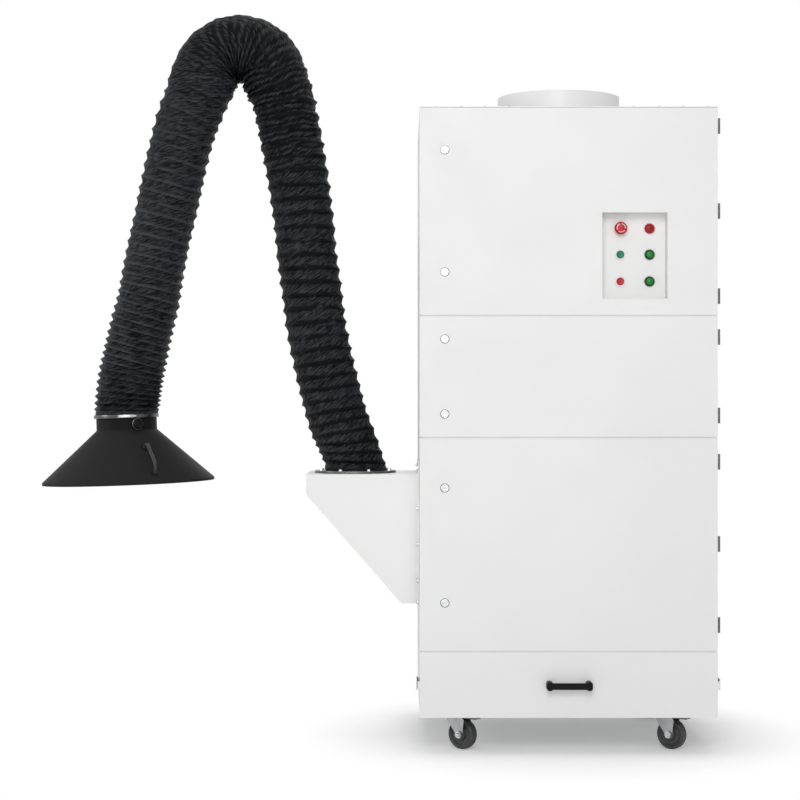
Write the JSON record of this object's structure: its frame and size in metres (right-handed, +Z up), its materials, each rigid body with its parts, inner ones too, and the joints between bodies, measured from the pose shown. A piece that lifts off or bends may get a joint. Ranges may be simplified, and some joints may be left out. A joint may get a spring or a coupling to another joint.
{
  "type": "mobile welding fume extractor",
  "caption": "Mobile fume extractor: steel cabinet on swivel casters with doors, dust drawer, fan and filter cartridges, and a jointed suction arm in a ribbed hose with a conical hood.",
  "frame": {"origin": "on the floor, under the middle of the overall box", "axes": "+Z up, the doors face -Y, the suction arm is on the -X side"},
  "size_m": [1.8852, 0.735, 2.0447],
  "materials": {
    "white_paint": "satin powder coat with a fine orange peel",
    "steel": "plain sheet steel, lightly brushed",
    "zinc": "bright zinc plating",
    "dark_steel": "dark plated steel",
    "black_plastic": "matt moulded plastic",
    "black_paint": "semi-gloss black powder coat",
    "hose_fabric": "coated fabric over a wire helix, wrinkled between the ribs",
    "rubber": "dark grey tread",
    "filter_paper": "pleated filter media",
    "motor_blue": "enamel",
    "signal_red": "glossy moulded plastic",
    "signal_green": "glossy moulded plastic",
    "white_plastic": "glossy bezel",
    "wheel_grey": "moulded wheel centre"
  },
  "bodies": {
    "cabinet": {"base_frame": "white_paint", "left_side_panel": "white_paint", "right_side_panel": "white_paint", "back_panel": "white_paint", "roof_panel": "white_paint", "outlet_collar": "white_paint", "fan_deck": "steel", "tube_sheet": "steel", "intake_box": "white_paint", "swivel_flange": "dark_steel", "lock_rail": "white_paint", "filter_cartridge_left": "filter_paper", "filter_cartridge_right": "filter_paper", "air_tank": "dark_steel", "fan_motor": "motor_blue", "upper_hinge_strip": "dark_steel", "middle_hinge_strip": "dark_steel", "lower_hinge_strip": "dark_steel"},
    "turntable": {"arm_turntable": "steel"},
    "lower_arm": {"lower_link": "dark_steel", "elbow_pin": "zinc", "hose_lower": "hose_fabric"},
    "upper_arm": {"upper_link": "dark_steel", "hose_elbow": "hose_fabric", "hose_upper": "hose_fabric"},
    "neck": {"hood_neck": "steel", "hose_clamp": "zinc"},
    "hood": {"hood": "black_paint", "hood_handle": "black_paint"},
    "damper": {"damper": "black_plastic"},
    "upper_door": {"upper_door": "white_paint", "lamp_red": "signal_red", "lamp_green_upper": "signal_green", "lamp_green_lower": "signal_green"},
    "middle_door": {"middle_door": "white_paint"},
    "lower_door": {"lower_door": "white_paint"},
    "drawer": {"dust_drawer": "white_paint", "drawer_handle": "black_plastic"},
    "fan": {"fan_impeller": "steel"},
    "estop": {"estop_button": "signal_red"},
    "start": {"start_button": "signal_green"},
    "stop": {"stop_button": "signal_red"},
    "upper_lock_top": {"upper_door_lock_top": "zinc"},
    "upper_lock_bottom": {"upper_door_lock_bottom": "zinc"},
    "middle_lock_top": {"middle_door_lock_top": "zinc"},
    "middle_lock_bottom": {"middle_door_lock_bottom": "zinc"},
    "lower_lock_top": {"lower_door_lock_top": "zinc"},
    "lower_lock_bottom": {"lower_door_lock_bottom": "zinc"},
    "latch_left": {"drawer_latch_left": "steel"},
    "latch_right": {"drawer_latch_right": "steel"},
    "caster_front_left": {"caster_fork_front_left": "zinc"},
    "wheel_front_left": {"caster_wheel_front_left": "rubber"},
    "pedal_front_left": {"brake_pedal_front_left": "black_plastic"},
    "caster_front_right": {"caster_fork_front_right": "zinc"},
    "wheel_front_right": {"caster_wheel_front_right": "rubber"},
    "pedal_front_right": {"brake_pedal_front_right": "black_plastic"},
    "caster_back_left": {"caster_fork_back_left": "zinc"},
    "wheel_back_left": {"caster_wheel_back_left": "rubber"},
    "caster_back_right": {"caster_fork_back_right": "zinc"},
    "wheel_back_right": {"caster_wheel_back_right": "rubber"}
  },
  "joints": [
    {"name": "arm_swivel", "type": "hinge", "parent": "cabinet", "child": "turntable", "pos_m": [-0.04858, 0.0175, 0.7503], "axis": [0, 0, 1], "range_deg": [-80, 80]},
    {"name": "shoulder_tilt", "type": "hinge", "parent": "turntable", "child": "lower_arm", "pos_m": [-0.04858, 0.0175, 0.8], "axis": [0, -1, 0], "range_deg": [-8, 20], "deforming": ["hose_lower"]},
    {"name": "elbow_fold", "type": "hinge", "parent": "lower_arm", "child": "upper_arm", "pos_m": [-0.37858, 0.0175, 1.954], "axis": [0, 1, 0], "range_deg": [0, 45], "deforming": ["hose_elbow"]},
    {"name": "hood_tilt", "type": "hinge", "parent": "upper_arm", "child": "neck", "pos_m": [-0.7069, 0.0175, 0.97435], "axis": [0, 1, 0], "range_deg": [-30, 30], "deforming": ["hose_upper"]},
    {"name": "hood_turn", "type": "hinge", "parent": "neck", "child": "hood", "pos_m": [-0.70428, 0.0175, 0.8994], "axis": [-0.0349, 0, 0.9994], "range_deg": [-170, 170]},
    {"name": "damper_turn", "type": "hinge", "parent": "hood", "child": "damper", "pos_m": [-0.70369, 0.0175, 0.88241], "axis": [0.4537, -0.891, 0.0158], "range_deg": [0, 90]},
    {"name": "upper_door_hinge", "type": "hinge", "parent": "cabinet", "child": "upper_door", "pos_m": [0.93712, -0.3205, 1.4595], "axis": [0, 0, 1], "range_deg": [0, 110]},
    {"name": "middle_door_hinge", "type": "hinge", "parent": "cabinet", "child": "middle_door", "pos_m": [0.93712, -0.3205, 1.015], "axis": [0, 0, 1], "range_deg": [0, 110]},
    {"name": "lower_door_hinge", "type": "hinge", "parent": "cabinet", "child": "lower_door", "pos_m": [0.93712, -0.3205, 0.564], "axis": [0, 0, 1], "range_deg": [0, 110]},
    {"name": "drawer_slide", "type": "slide", "parent": "cabinet", "child": "drawer", "axis": [0, -1, 0], "range_m": [0, 0.5]},
    {"name": "fan_spin", "type": "hinge", "parent": "cabinet", "child": "fan", "pos_m": [0.53262, 0.0175, 1.28], "axis": [0, 0, 1], "continuous": true},
    {"name": "estop_press", "type": "slide", "parent": "upper_door", "child": "estop", "axis": [0, 1, 0], "range_m": [0, 0.006], "stiffness_N_per_m": 400, "springref_m": -0.002},
    {"name": "start_press", "type": "slide", "parent": "upper_door", "child": "start", "axis": [0, 1, 0], "range_m": [0, 0.004], "stiffness_N_per_m": 400, "springref_m": -0.002},
    {"name": "stop_press", "type": "slide", "parent": "upper_door", "child": "stop", "axis": [0, 1, 0], "range_m": [0, 0.004], "stiffness_N_per_m": 400, "springref_m": -0.002},
    {"name": "upper_lock_top_turn", "type": "hinge", "parent": "upper_door", "child": "upper_lock_top", "pos_m": [0.19962, -0.3325, 1.6228], "axis": [0, 1, 0], "range_deg": [0, 90]},
    {"name": "upper_lock_bottom_turn", "type": "hinge", "parent": "upper_door", "child": "upper_lock_bottom", "pos_m": [0.19962, -0.3325, 1.2947], "axis": [0, 1, 0], "range_deg": [0, 90]},
    {"name": "middle_lock_top_turn", "type": "hinge", "parent": "middle_door", "child": "middle_lock_top", "pos_m": [0.19962, -0.3325, 1.1148], "axis": [0, 1, 0], "range_deg": [0, 90]},
    {"name": "middle_lock_bottom_turn", "type": "hinge", "parent": "middle_door", "child": "middle_lock_bottom", "pos_m": [0.19962, -0.3325, 0.9134], "axis": [0, 1, 0], "range_deg": [0, 90]},
    {"name": "lower_lock_top_turn", "type": "hinge", "parent": "lower_door", "child": "lower_lock_top", "pos_m": [0.19962, -0.3325, 0.7147], "axis": [0, 1, 0], "range_deg": [0, 90]},
    {"name": "lower_lock_bottom_turn", "type": "hinge", "parent": "lower_door", "child": "lower_lock_bottom", "pos_m": [0.19962, -0.3325, 0.4059], "axis": [0, 1, 0], "range_deg": [0, 90]},
    {"name": "latch_left_lever", "type": "hinge", "parent": "cabinet", "child": "latch_left", "pos_m": [0.12687, -0.2785, 0.184], "axis": [0, 0, -1], "range_deg": [0, 75]},
    {"name": "latch_right_lever", "type": "hinge", "parent": "cabinet", "child": "latch_right", "pos_m": [0.93837, -0.2785, 0.184], "axis": [0, 0, 1], "range_deg": [0, 75]},
    {"name": "brake_front_left", "type": "hinge", "parent": "caster_front_left", "child": "pedal_front_left", "pos_m": [0.24302, -0.2453, 0.087], "axis": [0.6, 0.8, 0], "range_deg": [0, 10]},
    {"name": "brake_front_right", "type": "hinge", "parent": "caster_front_right", "child": "pedal_front_right", "pos_m": [0.81302, -0.2453, 0.087], "axis": [0.6, 0.8, 0], "range_deg": [0, 10]},
    {"name": "caster_swivel_front_left", "type": "hinge", "parent": "cabinet", "child": "caster_front_left", "pos_m": [0.23662, -0.2405, 0.1], "axis": [0, 0, 1], "continuous": true},
    {"name": "wheel_spin_front_left", "type": "hinge", "parent": "caster_front_left", "child": "wheel_front_left", "pos_m": [0.25022, -0.2507, 0.041], "axis": [0.6, 0.8, 0], "continuous": true},
    {"name": "caster_swivel_front_right", "type": "hinge", "parent": "cabinet", "child": "caster_front_right", "pos_m": [0.80662, -0.2405, 0.1], "axis": [0, 0, 1], "continuous": true},
    {"name": "wheel_spin_front_right", "type": "hinge", "parent": "caster_front_right", "child": "wheel_front_right", "pos_m": [0.82022, -0.2507, 0.041], "axis": [0.6, 0.8, 0], "continuous": true},
    {"name": "caster_swivel_back_left", "type": "hinge", "parent": "cabinet", "child": "caster_back_left", "pos_m": [0.23662, 0.2755, 0.1], "axis": [0, 0, 1], "continuous": true},
    {"name": "wheel_spin_back_left", "type": "hinge", "parent": "caster_back_left", "child": "wheel_back_left", "pos_m": [0.25022, 0.2653, 0.041], "axis": [0.6, 0.8, 0], "continuous": true},
    {"name": "caster_swivel_back_right", "type": "hinge", "parent": "cabinet", "child": "caster_back_right", "pos_m": [0.80662, 0.2755, 0.1], "axis": [0, 0, 1], "continuous": true},
    {"name": "wheel_spin_back_right", "type": "hinge", "parent": "caster_back_right", "child": "wheel_back_right", "pos_m": [0.82022, 0.2653, 0.041], "axis": [0.6, 0.8, 0], "continuous": true}
  ]
}
